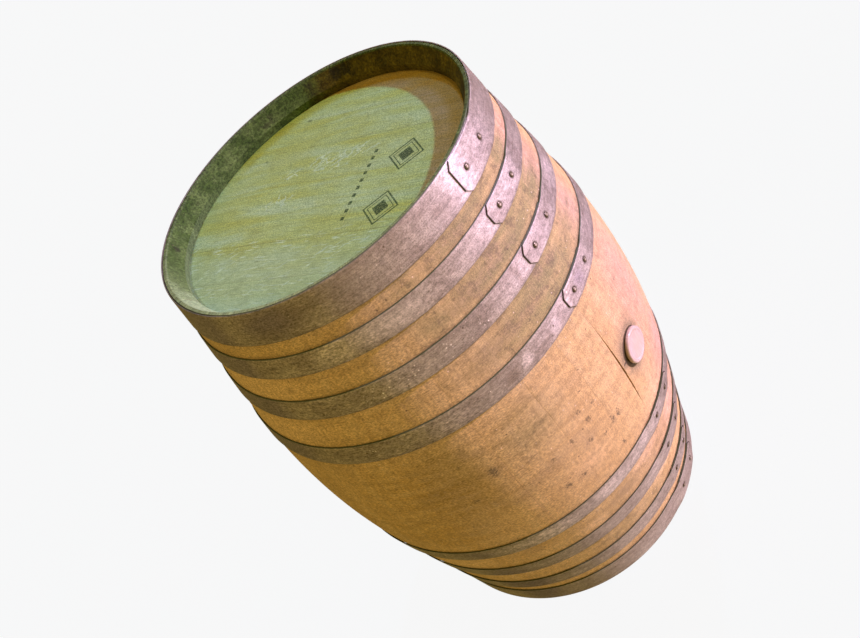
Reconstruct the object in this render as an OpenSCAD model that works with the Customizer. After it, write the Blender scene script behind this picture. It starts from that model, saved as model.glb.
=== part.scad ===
// Oak wine barrel of the 225 litre class, standing on its lower chime with its bung facing -Y.
// Millimetres. The origin is the centre of the lower end and +Z runs up the barrel's axis.

/* [Barrel body] */
// Overall height, from chime to chime
barrel_height = 950; // [940:5:960]
// Outer diameter of the bare staves at the middle
bilge_diameter = 709; // [700:1:718]
// Outer diameter of the staves at each end
end_diameter = 581; // [575:1:587]
// Outer diameter of the staves where the chime meets the straight flank
shoulder_diameter = 601; // [597:1:605]
// Height of each chime zone, where the staves flare less than on the flank
chime_height = 70; // [66:1:74]
// Half the height of the bowed zone round the middle
bow_half = 220; // [200:5:230]
// Stave thickness, measured square to the axis
stave_thickness = 28; // [24:1:32]

/* [Stave ends] */
// Width of the flat ring left on the end of the staves
rim_width = 6.5; // [4:0.5:9]
// Depth of the bevel inside each rim
bevel_depth = 28.5; // [24:0.5:32]
// Depth of the croze groove that holds the head
croze_depth = 5.5; // [4:0.5:8]

/* [Heads] */
// Depth from the rim down to the face of the head
head_recess = 41; // [38:0.5:50]
// Head thickness
head_thickness = 22; // [20:1:26]
// Thickness of the tongue round the edge of the head
tongue_thickness = 9; // [7:1:11]

/* [Hoops] */
// Strip thickness of every hoop
hoop_thickness = 2; // [1.6:0.1:2.4]
// Width of the common hoops
hoop_width = 40; // [36:1:42]
// Width of the upper chime hoop
upper_head_hoop_width = 61; // [56:1:64]
// Width of the lower chime hoop
lower_head_hoop_width = 55; // [50:1:60]
// Distance between the two rivets of a lap
rivet_spacing = 59; // [50:1:64]
// Diameter of a rivet's domed head
rivet_head_diameter = 9.5; // [8:0.5:11]

/* [Bung] */
// Height of the bung's axis above the lower end
bung_height = 454; // [440:1:480]
// Diameter of the bung's collar
bung_diameter = 64; // [62:1:68]
// How far the collar stands out from the middle of the bung stave
bung_standout = 7.5; // [6:0.5:10]
// Diameter of the bung hole at its mouth
bung_hole_diameter = 56; // [50:1:58]

/* [Hidden] */
$fn = 96;

// Share of the ring that each stave takes, in degrees, going clockwise from the bung stave
// as seen from above. Coopers fit staves of mixed width, with the widest one for the bung.
stave_share = [
    16.6, 11.8, 13.2, 16.8, 10.4, 12.6, 9.6, 13.4, 11.2, 12.0,
    10.0, 13.8, 11.4, 9.8, 12.8, 11.6, 10.6, 13.0, 9.4, 12.2,
    11.0, 13.6, 10.2, 12.4, 9.9, 13.1, 11.3, 10.8, 12.7, 12.8
];
// Seams between the head boards, as distances from the centre along X
head_seams = [-190, -112, 17.5, 106, 181];
// Gap at every seam, which keeps neighbouring pieces apart
seam_gap = 0.2;
// Clearance between a hoop and the staves it grips
hoop_gap = 0.3;
// Colours
oak = [0.72, 0.52, 0.32];
head_oak = [0.68, 0.66, 0.44];
steel = [0.52, 0.44, 0.41];
rivet_steel = [0.45, 0.39, 0.36];
bung_wood = [0.88, 0.72, 0.68];

half_height = barrel_height / 2;
shoulder_half = half_height - chime_height;
shoulder_r = shoulder_diameter / 2;
end_r = end_diameter / 2;
bilge_r = bilge_diameter / 2;
chime_slope = (shoulder_r - end_r) / chime_height;

// The outline is an arc round the middle that runs on into straight flanks. bow_tan is the
// tangent of half the angle the arc turns through, found from the drop by one refinement.
bow_drop = bilge_r - shoulder_r;
bow_tan_guess = bow_drop / (2 * shoulder_half - bow_half);
bow_tan = bow_drop / (bow_half + 2 * (shoulder_half - bow_half) / (1 - pow(bow_tan_guess, 2)));
bow_angle = 2 * atan(bow_tan);
bow_radius = bow_half / sin(bow_angle);
bow_edge_r = bilge_r - bow_half * bow_tan;

croze_top = barrel_height - head_recess - 2;
croze_bottom = croze_top - tongue_thickness;
hole_taper = 0.09;
plug_start = bilge_r - stave_thickness - 6;
collar_back = bilge_r + 0.5;
collar_face = bilge_r + bung_standout;

// Outer radius of the staves at height z above the lower end
function stave_r(z) =
    let (h = abs(z - half_height))
    h <= bow_half ? bilge_r - bow_radius + sqrt(pow(bow_radius, 2) - h * h)
    : h <= shoulder_half ? bow_edge_r - tan(bow_angle) * (h - bow_half)
    : shoulder_r - chime_slope * (h - shoulder_half);

// Radius of the tapered bung hole at a distance from the barrel's axis
function hole_r(distance) = bung_hole_diameter / 2 - hole_taper * (bilge_r - distance);

function share_before(i) = i == 0 ? 0 : stave_share[i - 1] + share_before(i - 1);

// Half section of the barrel's outline, moved in by inset and run past each end by reach
module outline_section(inset, reach) {
    core = end_r - 80;
    far_r = end_r - chime_slope * reach;
    far_half = half_height + reach;
    translate([-inset, half_height]) {
        intersection() {
            translate([bilge_r - bow_radius, 0]) circle(r = bow_radius);
            translate([bow_edge_r - 1, -bow_half - 20])
                square([bilge_r - bow_edge_r + 2, 2 * bow_half + 40]);
        }
        polygon([
            [core, -far_half],
            [far_r, -far_half],
            [shoulder_r, -shoulder_half],
            [bow_edge_r, -bow_half],
            [bow_edge_r, bow_half],
            [shoulder_r, shoulder_half],
            [far_r, far_half],
            [core, far_half]
        ]);
    }
}

// What is cut away inside one end of the staves: the bevel and the croze groove
module end_cut_section() {
    bevel_foot = barrel_height - bevel_depth;
    core = end_r - 100;
    polygon([
        [core, bevel_foot],
        [stave_r(bevel_foot) - stave_thickness, bevel_foot],
        [end_r - rim_width, barrel_height],
        [end_r - rim_width, barrel_height + 1],
        [core, barrel_height + 1]
    ]);
    translate([core, croze_bottom])
        square([
            stave_r(croze_top) - stave_thickness + croze_depth - core,
            tongue_thickness
        ]);
}

module stave_section() {
    difference() {
        outline_section(0, 0);
        outline_section(stave_thickness, 1);
        end_cut_section();
        translate([0, barrel_height]) mirror([0, 1]) end_cut_section();
    }
}

// Stave number i, counted from 1 at the bung and clockwise as seen from above
module plain_stave(i) {
    share = stave_share[i - 1];
    gap_angle = seam_gap / bilge_r * 180 / PI;
    right_seam = -90 + stave_share[0] / 2 - share_before(i - 1);
    color(oak)
        rotate([0, 0, right_seam - share + gap_angle / 2])
            rotate_extrude(angle = share - gap_angle)
                stave_section();
}

module stave(i) {
    plain_stave(i);
}

// The wide stave with the tapered bung hole
module bung_stave() {
    color(oak)
        difference() {
            plain_stave(1);
            translate([0, 0, bung_height])
                rotate([90, 0, 0])
                    translate([0, 0, plug_start])
                        cylinder(
                            h = stave_thickness + 12,
                            r1 = hole_r(plug_start),
                            r2 = hole_r(plug_start + stave_thickness + 12)
                        );
        }
}

// A whole head as one disc, with a tongue round its edge that sits in the croze
module head_disc() {
    face = barrel_height - head_recess;
    wall_r = stave_r(croze_top) - stave_thickness;
    tongue_r = wall_r + croze_depth - 0.4;
    rotate_extrude()
        polygon([
            [0, face],
            [wall_r - 5, face],
            [wall_r - 1, croze_top - 0.3],
            [tongue_r, croze_top - 0.3],
            [tongue_r, croze_bottom + 0.3],
            [wall_r - 2, croze_bottom + 0.3],
            [wall_r - 20, face - head_thickness],
            [0, face - head_thickness]
        ]);
}

// Board number i of a head, counted from -X
module head_board(i) {
    low = i == 1 ? -end_r : head_seams[i - 2] + seam_gap / 2;
    high = i == 6 ? end_r : head_seams[i - 1] - seam_gap / 2;
    intersection() {
        head_disc();
        translate([low, -end_r, barrel_height - head_recess - head_thickness - 1])
            cube([high - low, 2 * end_r, head_thickness + 2]);
    }
}

module upper_head_board(i) {
    color(head_oak) head_board(i);
}

module lower_head_board(i) {
    color(head_oak) translate([0, 0, barrel_height]) mirror([0, 0, 1]) head_board(i);
}

// Straight conical strip between the heights low and high, layer strips out from the staves
module strip_section(low, high, layer) {
    base = hoop_gap + layer * hoop_thickness;
    polygon([
        [stave_r(low) + base, low],
        [stave_r(low) + base + hoop_thickness, low],
        [stave_r(high) + base + hoop_thickness, high],
        [stave_r(high) + base, high]
    ]);
}

function lap_r(low, high) = (stave_r(low) + stave_r(high)) / 2 + hoop_gap + hoop_thickness;

// Places its children at the two rivets of a lap, with +Z pointing straight out of the hoop
module at_rivets(low, high, turn) {
    mid = (low + high) / 2;
    lean = atan((stave_r(low) - stave_r(high)) / (high - low));
    spread = rivet_spacing / 2 / lap_r(low, high) * 180 / PI;
    for (side = [-1, 1])
        rotate([0, 0, -90 + turn + side * spread])
            translate([lap_r(low, high), 0, mid])
                rotate([0, 90 - lean, 0])
                    children();
}

// One hoop: a closed ring with the strip's end lapped over it across the bung line.
// The lap's visible end has clipped corners. It lies left of the bung line, or right when
// flipped is 1. turn moves the whole lap round the barrel by a few degrees.
module hoop(low, high, turn, flipped) {
    r = lap_r(low, high);
    open_end = 57.5 / r * 180 / PI;
    shut_end = 50 / r * 180 / PI;
    clip = 10;
    side = flipped == 1 ? 1 : -1;
    color(steel)
        difference() {
            union() {
                rotate_extrude() strip_section(low, high, 0);
                difference() {
                    rotate([0, 0, -90 + turn - (flipped == 1 ? shut_end : open_end)])
                        rotate_extrude(angle = open_end + shut_end)
                            strip_section(low + 0.4, high - 0.4, 0.95);
                    for (edge = [low, high])
                        rotate([0, 0, -90 + turn + side * open_end])
                            translate([r, 0, edge])
                                rotate([45, 0, 0])
                                    cube([30, clip * sqrt(2), clip * sqrt(2)], center = true);
                }
            }
            at_rivets(low, high, turn)
                translate([0, 0, -3 * hoop_thickness])
                    cylinder(h = 6 * hoop_thickness, r = 3.1);
        }
}

// The two rivets of one lap: a shank through both layers under a low dome
module lap_rivets(low, high, turn) {
    dome_h = 2.8;
    dome_r = rivet_head_diameter / 2;
    ball_r = (pow(dome_r, 2) + pow(dome_h, 2)) / (2 * dome_h);
    at_rivets(low, high, turn) {
        translate([0, 0, 0.1 - hoop_thickness])
            cylinder(h = 2 * hoop_thickness + 0.4, r = 3);
        intersection() {
            translate([0, 0, hoop_thickness + 0.2 + dome_h - ball_r]) sphere(r = ball_r);
            translate([0, 0, hoop_thickness + 0.2]) cylinder(h = dome_h + 1, r = dome_r + 1);
        }
    }
}

// Lower edge, upper edge, lap turn and flip of each hoop
upper_head = [barrel_height - upper_head_hoop_width, barrel_height, 0.7, 0];
upper_neck = [barrel_height - 89 - hoop_width, barrel_height - 89, 0.2, 0];
upper_quarter = [barrel_height - 176.5 - hoop_width, barrel_height - 176.5, -0.4, 0];
upper_bilge = [barrel_height - 281 - hoop_width, barrel_height - 281, -0.9, 0];
lower_bilge = [271, 271 + hoop_width, -1, 1];
lower_quarter = [166, 166 + hoop_width, -0.7, 1];
lower_neck = [77, 77 + hoop_width, -0.3, 1];
lower_head = [0, lower_head_hoop_width, -0.1, 1];
all_hoops = [
    upper_head, upper_neck, upper_quarter, upper_bilge,
    lower_bilge, lower_quarter, lower_neck, lower_head
];

module placed_hoop(spec) {
    hoop(spec[0], spec[1], spec[2], spec[3]);
}

module hoop_rivets() {
    color(rivet_steel)
        for (spec = all_hoops)
            lap_rivets(spec[0], spec[1], spec[2]);
}

// Tapered plug with a round collar and a shallow dish turned in its face
module bung() {
    fit_gap = 0.3;
    color(bung_wood)
        translate([0, 0, bung_height])
            rotate([90, 0, 0])
                rotate_extrude()
                    polygon([
                        [0, plug_start],
                        [hole_r(plug_start) - fit_gap - 1.5, plug_start],
                        [hole_r(plug_start + 2) - fit_gap, plug_start + 2],
                        [hole_r(collar_back) - fit_gap, collar_back],
                        [bung_diameter / 2 - 0.8, collar_back],
                        [bung_diameter / 2, collar_back + 1],
                        [bung_diameter / 2, collar_face - 2],
                        [bung_diameter / 2 - 0.7, collar_face - 0.7],
                        [bung_diameter / 2 - 2, collar_face],
                        [bung_diameter / 2 - 5, collar_face],
                        [bung_diameter / 2 - 8, collar_face - 1.2],
                        [0, collar_face - 1.2]
                    ]);
}

bung_stave();
stave(2);  // stave_02
stave(3);  // stave_03
stave(4);  // stave_04
stave(5);  // stave_05
stave(6);  // stave_06
stave(7);  // stave_07
stave(8);  // stave_08
stave(9);  // stave_09
stave(10);  // stave_10
stave(11);  // stave_11
stave(12);  // stave_12
stave(13);  // stave_13
stave(14);  // stave_14
stave(15);  // stave_15
stave(16);  // stave_16
stave(17);  // stave_17
stave(18);  // stave_18
stave(19);  // stave_19
stave(20);  // stave_20
stave(21);  // stave_21
stave(22);  // stave_22
stave(23);  // stave_23
stave(24);  // stave_24
stave(25);  // stave_25
stave(26);  // stave_26
stave(27);  // stave_27
stave(28);  // stave_28
stave(29);  // stave_29
stave(30);  // stave_30
upper_head_board(1);  // upper_head_board_1
upper_head_board(2);  // upper_head_board_2
upper_head_board(3);  // upper_head_board_3
upper_head_board(4);  // upper_head_board_4
upper_head_board(5);  // upper_head_board_5
upper_head_board(6);  // upper_head_board_6
lower_head_board(1);  // lower_head_board_1
lower_head_board(2);  // lower_head_board_2
lower_head_board(3);  // lower_head_board_3
lower_head_board(4);  // lower_head_board_4
lower_head_board(5);  // lower_head_board_5
lower_head_board(6);  // lower_head_board_6
placed_hoop(upper_head);  // upper_head_hoop
placed_hoop(upper_neck);  // upper_neck_hoop
placed_hoop(upper_quarter);  // upper_quarter_hoop
placed_hoop(upper_bilge);  // upper_bilge_hoop
placed_hoop(lower_bilge);  // lower_bilge_hoop
placed_hoop(lower_quarter);  // lower_quarter_hoop
placed_hoop(lower_neck);  // lower_neck_hoop
placed_hoop(lower_head);  // lower_head_hoop
hoop_rivets();
bung();
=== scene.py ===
import math

import bmesh
import bpy
import numpy as np
from mathutils import Matrix, Vector


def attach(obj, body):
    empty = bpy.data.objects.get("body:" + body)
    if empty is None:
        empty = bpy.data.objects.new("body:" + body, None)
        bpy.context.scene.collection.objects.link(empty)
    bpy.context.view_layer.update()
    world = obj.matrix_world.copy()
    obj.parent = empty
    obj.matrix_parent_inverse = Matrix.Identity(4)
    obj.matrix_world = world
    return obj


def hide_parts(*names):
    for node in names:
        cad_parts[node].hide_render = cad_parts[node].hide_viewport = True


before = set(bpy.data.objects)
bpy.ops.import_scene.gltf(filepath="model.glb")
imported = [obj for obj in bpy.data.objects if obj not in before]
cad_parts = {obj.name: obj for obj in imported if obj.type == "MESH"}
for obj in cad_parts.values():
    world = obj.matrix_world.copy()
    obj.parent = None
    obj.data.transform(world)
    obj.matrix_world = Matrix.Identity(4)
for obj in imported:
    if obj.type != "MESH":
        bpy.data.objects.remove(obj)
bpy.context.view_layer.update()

MM = 0.001
scene = bpy.context.scene


# ---------------------------------------------------------------- node helpers

class Nodes:
    """Short names for building the node tree of a material or a world."""

    def __init__(self, owner):
        owner.use_nodes = True
        self.owner = owner
        self.tree = owner.node_tree

    def put(self, socket, value):
        """Links an output to the socket or sets its value; colours are given without alpha."""
        if isinstance(value, bpy.types.NodeSocket):
            self.tree.links.new(value, socket)
        else:
            socket.default_value = (*value, 1.0) if socket.type == "RGBA" else value

    def node(self, kind, inputs=(), out=0, **settings):
        """Adds a node and returns one output; inputs are in order, or by name or number."""
        n = self.tree.nodes.new("ShaderNode" + kind)
        for key, value in settings.items():
            setattr(n, key, value)
        for key, value in inputs.items() if isinstance(inputs, dict) else enumerate(inputs):
            self.put(n.inputs[key], value)
        return n.outputs[out]

    def math(self, op, a, b=0.0):
        return self.node("Math", (a, b), operation=op)

    def mul(self, a, b):
        return self.math("MULTIPLY", a, b)

    def plus(self, a, b):
        return self.math("ADD", a, b)

    def minus(self, a, b):
        return self.math("SUBTRACT", a, b)

    def most(self, a, b):
        return self.math("MAXIMUM", a, b)

    def absolute(self, a):
        return self.math("ABSOLUTE", a)

    def vector(self, op, a, b=(0.0, 0.0, 0.0), out=0):
        return self.node("VectorMath", (a, b), out, operation=op)

    def attr(self, name):
        return self.node("Attribute", out="Fac", attribute_name=name)

    def split(self, vector):
        return self.node("SeparateXYZ", (vector,)).node.outputs

    def join(self, x, y, z=0.0):
        return self.node("CombineXYZ", (x, y, z))

    def unrolled(self):
        """Place on the flattened piece, in metres: round or across it, and along it."""
        return self.split(self.node("UVMap", uv_map="unroll"))[:2]

    def place(self):
        """The point in the object's own frame, as x, y and z."""
        return self.split(self.node("TexCoord", out="Object"))

    def noise(self, vector, scale=1.0, detail=3.0, rough=0.5, out="Fac"):
        return self.node("TexNoise", {"Vector": vector, "Scale": scale, "Detail": detail,
                                      "Roughness": rough}, out)

    def field(self, u, v, per_u, per_v, slice_at, detail=3.0, rough=0.5):
        """Noise with per_u by per_v cells to the metre, cut at the depth slice_at."""
        return self.noise(self.join(self.mul(u, per_u), self.mul(v, per_v), slice_at),
                          1.0, detail, rough)

    def dots(self, u, v, scale, size, rare):
        """Scattered round dots; size is a share of the cell, rare the share left empty."""
        away = self.node("TexVoronoi", {"Vector": self.join(u, v), "Scale": scale}, "Distance")
        pick = self.span(self.split(away.node.outputs["Color"])[0], rare, rare + 0.03)
        return self.mul(self.span(away, size, size * 0.5), pick)

    def span(self, value, lo, hi, out_lo=0.0, out_hi=1.0):
        """Smooth step of value from lo..hi to out_lo..out_hi."""
        return self.node("MapRange", (value, lo, hi, out_lo, out_hi), "Result",
                         interpolation_type="SMOOTHSTEP")

    def mix(self, fac, a, b, blend="MIX"):
        return self.node("Mix", {0: fac, 6: a, 7: b}, 2, data_type="RGBA", blend_type=blend)

    def coats(self, colour, *coats):
        """Lays colours over one another; each coat is a factor and a colour."""
        for factor, coat in coats:
            colour = self.mix(factor, colour, coat)
        return colour

    def vary(self, colour, value, amount, lo=0.36, hi=0.64):
        """Colour made lighter and darker by up to amount as value swings between lo and hi."""
        swing = self.node("MapRange", (value, lo, hi, 1 - amount, 1 + amount), "Result")
        return self.mix(1.0, colour, swing, "MULTIPLY")

    def grain(self, colour, near, near_amount, far, far_amount, to_far):
        """Colour varied by one noise, passing into another as to_far goes from 0 to 1."""
        return self.mix(to_far, self.vary(colour, near, near_amount, 0.34, 0.66),
                        self.vary(colour, far, far_amount, 0.34, 0.66))

    def ramp(self, value, stops):
        out = self.node("ValToRGB", (value,))
        elements = out.node.color_ramp.elements
        while len(elements) < len(stops):
            elements.new(0.5)
        for element, (position, colour) in zip(elements, stops):
            element.position = position
            element.color = (*colour, 1.0)
        return out

    def spots(self, place, marks):
        """Strongest of several ellipses; each mark is x, y, half width, half height, amount."""
        best = 0.0
        for x, y, w, h, amount in marks:
            away = self.vector("SUBTRACT", place, (x, y, 0.0))
            away = self.vector("MULTIPLY", away, (1.0 / w, 1.0 / h, 0.0))
            best = self.most(best, self.span(self.vector("LENGTH", away, out="Value"),
                                             1.25, 0.35, 0.0, amount))
        return best

    def ragged(self, u, v, scale, reach):
        """The point (u, v, 0) pushed about by noise, for uneven outlines."""
        point = self.join(u, v)
        shift = self.vector("SUBTRACT", self.noise(point, scale, out="Color"), (0.5, 0.5, 0.5))
        return self.node("VectorMath", (shift, (reach, reach, 0.0), point),
                         operation="MULTIPLY_ADD")

    def bump(self, height, strength, distance):
        return self.node("Bump", {"Height": height, "Strength": strength, "Distance": distance})

    def finish(self, colour, rough, normal=None, **sockets):
        """Wires the material's shader and returns the material."""
        shader = self.tree.nodes["Principled BSDF"].inputs
        self.put(shader["Base Color"], colour)
        self.put(shader["Roughness"], rough)
        if normal is not None:
            self.put(shader["Normal"], normal)
        for key, value in sockets.items():
            self.put(shader[key.replace("_", " ")], value)
        return self.owner


def new_material(name):
    return Nodes(bpy.data.materials.new(name))


# ---------------------------------------------------------------- camera, light, floor

def look_from(place, forward, up):
    """Matrix of a camera or light at place, looking along forward."""
    forward = Vector(forward).normalized()
    right = forward.cross(Vector(up)).normalized()
    above = right.cross(forward)
    matrix = Matrix((right, above, -forward)).transposed().to_4x4()
    matrix.translation = Vector(place)
    return matrix


def direction(azimuth, elevation):
    """Unit vector towards a place in the sky, given in degrees."""
    a, e = math.radians(azimuth), math.radians(elevation)
    return Vector((math.cos(e) * math.cos(a), math.cos(e) * math.sin(a), math.sin(e)))


cam_data = bpy.data.cameras.new("camera")
cam_data.sensor_width = 36.0
cam_data.lens = 40.415
cam_data.clip_end = 100.0
cam = bpy.data.objects.new("camera", cam_data)
scene.collection.objects.link(cam)
cam.matrix_world = look_from((-0.8905465, -1.0560608, 1.654494),
                             (0.5031498, 0.6007253, -0.6212644),
                             (0.7991553, -0.0498095, 0.5990574))
scene.camera = cam
scene.view_settings.view_transform = "Standard"


def sun(name, azimuth, elevation, colour, angle, only=None):
    """A distant light; only, if given, is the collection of pieces it falls on."""
    data = bpy.data.lights.new(name, "SUN")
    data.energy = 1.0
    data.color = colour
    data.angle = math.radians(angle)
    to_light = direction(azimuth, elevation)
    ob = bpy.data.objects.new(name, data)
    scene.collection.objects.link(ob)
    ob.matrix_world = look_from(to_light * 4.0, -to_light, (0.0, 0.0, 1.0))
    if only:
        ob.light_linking.receiver_collection = only


# The photograph's head is green and its sides pink and golden, so each has its own key light.
KEY = (-57.4, 28.0)
side_group = bpy.data.collections.new("side_pieces")
top_group = bpy.data.collections.new("top_pieces")
sun("key_light", *KEY, (4.7, 3.65, 6.0), 2.0, side_group)
sun("key_light_top", *KEY, (1.0, 3.45, 2.75), 2.0, top_group)
sun("second_light", 12.0, 45.0, (0.16, 0.43, 0.80), 3.0)
sun("left_light", 150.0, 24.0, (0.30, 0.24, 0.14), 12.0)

scene.world = bpy.data.worlds.new("studio")
sky = Nodes(scene.world)
towards = sky.node("TexCoord", out="Generated")
# dimmer from below than from the sides
glow = sky.mix(sky.span(sky.split(towards)[2], -0.75, 0.05),
               (0.20, 0.145, 0.030), (0.41, 0.305, 0.072))
# soft panels: azimuth, elevation, half angles where full and where faded out, colour
for azimuth, elevation, full, faded, colour in (
    (-66.0, -10.0, 14.0, 34.0, (2.7, 2.1, 2.7)),
    (-112.0, 5.0, 10.0, 46.0, (0.42, 0.34, 0.16)),
    (-84.0, -60.0, 16.0, 40.0, (0.85, 0.68, 0.62)),
):
    near = sky.vector("DOT_PRODUCT", towards, direction(azimuth, elevation), "Value")
    glow = sky.mix(sky.span(near, math.cos(math.radians(faded)), math.cos(math.radians(full))),
                   glow, colour, "ADD")
background = sky.tree.nodes["Background"].inputs
sky.put(background["Color"], glow)
sky.put(background["Strength"], 1.0)

paper = new_material("floor_paper")
paper_mat = paper.finish(
    paper.mix(paper.noise(paper.node("TexCoord", out="Object"), 3.0),
              (0.052, 0.053, 0.054), (0.056, 0.057, 0.058)),
    0.9, Emission_Color=(0.905, 0.91, 0.922), Emission_Strength=1.0, Specular_IOR_Level=0.0)


def stage_paper(ob):
    """Makes ob part of the pale surroundings, which put no light on the barrel."""
    ob.data.materials.append(paper_mat)
    ob.visible_diffuse = False
    ob.visible_glossy = False


# the floor lies just under the barrel, so that the two do not flicker
bpy.ops.mesh.primitive_plane_add(size=60.0, location=(0.0, 0.0, -0.0005))
floor = bpy.context.object
floor.name = "floor"
stage_paper(floor)


def build_backdrop(radius=28.0, sunk=0.01, rings=12, segments=48):
    """A pale dome far behind everything, seen by the camera only."""
    verts, faces = [], []
    for k in range(rings):
        rise = 0.5 * math.pi * k / rings
        for q in range(segments):
            a = 2 * math.pi * q / segments
            verts.append((radius * math.cos(rise) * math.cos(a),
                          radius * math.cos(rise) * math.sin(a), radius * math.sin(rise) - sunk))
    top = len(verts)
    verts.append((0.0, 0.0, radius - sunk))
    for k in range(rings):
        for q in range(segments):
            a, b = k * segments + q, k * segments + (q + 1) % segments
            faces.append((a, top, b) if k == rings - 1
                         else (a, a + segments, b + segments, b))
    me = bpy.data.meshes.new("backdrop")
    me.from_pydata(verts, [], faces)
    me.shade_smooth()
    dome = bpy.data.objects.new("backdrop", me)
    scene.collection.objects.link(dome)
    dome.visible_shadow = False
    stage_paper(dome)


build_backdrop()


# ---------------------------------------------------------------- shared sizes (mm)

HEIGHT = 950
HALF = HEIGHT / 2
BILGE_R, END_R, SHOULDER_R = 354.5, 290.5, 300.5
CHIME_H, BOW_HALF = 70, 220
STAVE_T = 28
SHOULDER_HALF = HALF - CHIME_H
# the bow is an arc that passes into straight flanks: the tangent of half its angle
DROP = BILGE_R - SHOULDER_R
ROUGH_TAN = DROP / (2 * SHOULDER_HALF - BOW_HALF)
BOW_TAN = DROP / (BOW_HALF + 2 * (SHOULDER_HALF - BOW_HALF) / (1 - ROUGH_TAN ** 2))
BOW_ANGLE = 2 * math.atan(BOW_TAN)
BOW_R = BOW_HALF / math.sin(BOW_ANGLE)
BOW_EDGE_R = BILGE_R - BOW_HALF * BOW_TAN
BUNG_Z = 454
FRONT = -90  # the turn of the bung and, nearly, of the hoops' laps


def wood_r(z):
    """Outer radius of the staves at height z, as in the CAD model."""
    h = np.abs(np.asarray(z, float) - HALF)
    arc = BILGE_R - BOW_R + np.sqrt(np.maximum(BOW_R ** 2 - h * h, 0))
    flank = BOW_EDGE_R - math.tan(BOW_ANGLE) * (h - BOW_HALF)
    chime = SHOULDER_R - (SHOULDER_R - END_R) / CHIME_H * (h - SHOULDER_HALF)
    return np.where(h <= BOW_HALF, arc, np.where(h <= SHOULDER_HALF, flank, chime))


def smooth(x, lo, hi):
    t = np.clip((np.asarray(x, float) - lo) / (hi - lo), 0, 1)
    return t * t * (3 - 2 * t)


def wobble(x, seed, waves=4):
    """Smooth repeatable wander of x, about -1 to 1."""
    rng = np.random.default_rng(seed)
    out = np.zeros_like(np.asarray(x, float))
    for k in range(1, waves + 1):
        out = out + rng.uniform(-1, 1) / k * np.sin(k * np.asarray(x) + rng.uniform(0, 6.28))
    return out / 1.6


def polar(r, theta_deg, z):
    t = np.radians(theta_deg)
    return np.stack([r * np.cos(t), r * np.sin(t), z + 0 * t], -1)


def add_piece(name, verts_mm, faces, mats, slot, replaces, attrs, sharp, face_mat=None,
              body="barrel", uv=None):
    """Makes one mesh piece in the shared frame, hides the CAD nodes it replaces, parents it to its
    body and puts it in the top or side group of pieces.
    """
    me = bpy.data.meshes.new(name)
    me.from_pydata((np.asarray(verts_mm, float) * MM).tolist(), [], [list(f) for f in faces])
    for m in mats:
        me.materials.append(m)
    if face_mat is not None:
        me.polygons.foreach_set("material_index", np.asarray(face_mat, np.int32))
    for key, values in attrs.items():
        a = me.attributes.new(key, "FLOAT", "POINT")
        a.data.foreach_set("value", np.asarray(values, np.float32))
    if uv is not None:
        layer = me.uv_layers.new(name="unroll")
        loops = np.empty(len(me.loops), np.int32)
        me.loops.foreach_get("vertex_index", loops)
        layer.data.foreach_set("uv", np.asarray(uv, np.float32)[loops].ravel())
    me.update()
    me.shade_smooth()
    me.set_sharp_from_angle(angle=math.radians(sharp))
    ob = bpy.data.objects.new(name, me)
    scene.collection.objects.link(ob)
    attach(ob, body)
    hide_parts(*replaces)
    (top_group if slot == "head_oak" else side_group).objects.link(ob)
    return ob


def clean(ob):
    """Welds points that fall together, where a face narrows to nothing."""
    bm = bmesh.new()
    bm.from_mesh(ob.data)
    bmesh.ops.remove_doubles(bm, verts=bm.verts, dist=1e-5)
    bmesh.ops.dissolve_degenerate(bm, edges=bm.edges, dist=1e-5)
    bmesh.ops.recalc_face_normals(bm, faces=bm.faces)
    bm.to_mesh(ob.data)
    bm.free()


def band(a, b, flip=False):
    """Faces between two closed loops of points; a loop may be one point, repeated."""
    faces = []
    for q in range(len(a)):
        p = (q + 1) % len(a)
        face = (a[q], b[q], b[p], a[p]) if flip else (a[q], a[p], b[p], b[q])
        faces.append(tuple(dict.fromkeys(face)))
    return faces


def unroll(theta, z):
    """Place on the flattened barrel in metres, as the materials read it."""
    return np.stack([np.radians(theta) * BILGE_R * MM, z * MM], -1)


# ---------------------------------------------------------------- soft marks

def blobs(theta, z, marks):
    """Largest of several soft ellipses, given as in the tables below."""
    out = np.zeros(np.broadcast(theta, z).shape)
    for t0, z0, w, h, amount in marks:
        d = ((theta - t0 + 180) % 360 - 180) * math.pi / 180 * BILGE_R
        q = (d / w) ** 2 + ((z - z0) / h) ** 2
        out = np.maximum(out, amount * np.exp(-q))
    return np.minimum(out, 1)


# Hoops: bottom edge, top edge, turn of the lap in degrees.
HOOPS = {
    "upper_head_hoop": (889, 950, 0.7),
    "upper_neck_hoop": (821, 861, 0.2),
    "upper_quarter_hoop": (733.5, 773.5, -0.4),
    "upper_bilge_hoop": (629, 669, -0.9),
    "lower_bilge_hoop": (271, 311, -1),
    "lower_quarter_hoop": (166, 206, -0.7),
    "lower_neck_hoop": (77, 117, -0.3),
    "lower_head_hoop": (0, 55, -0.1),
}

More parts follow.
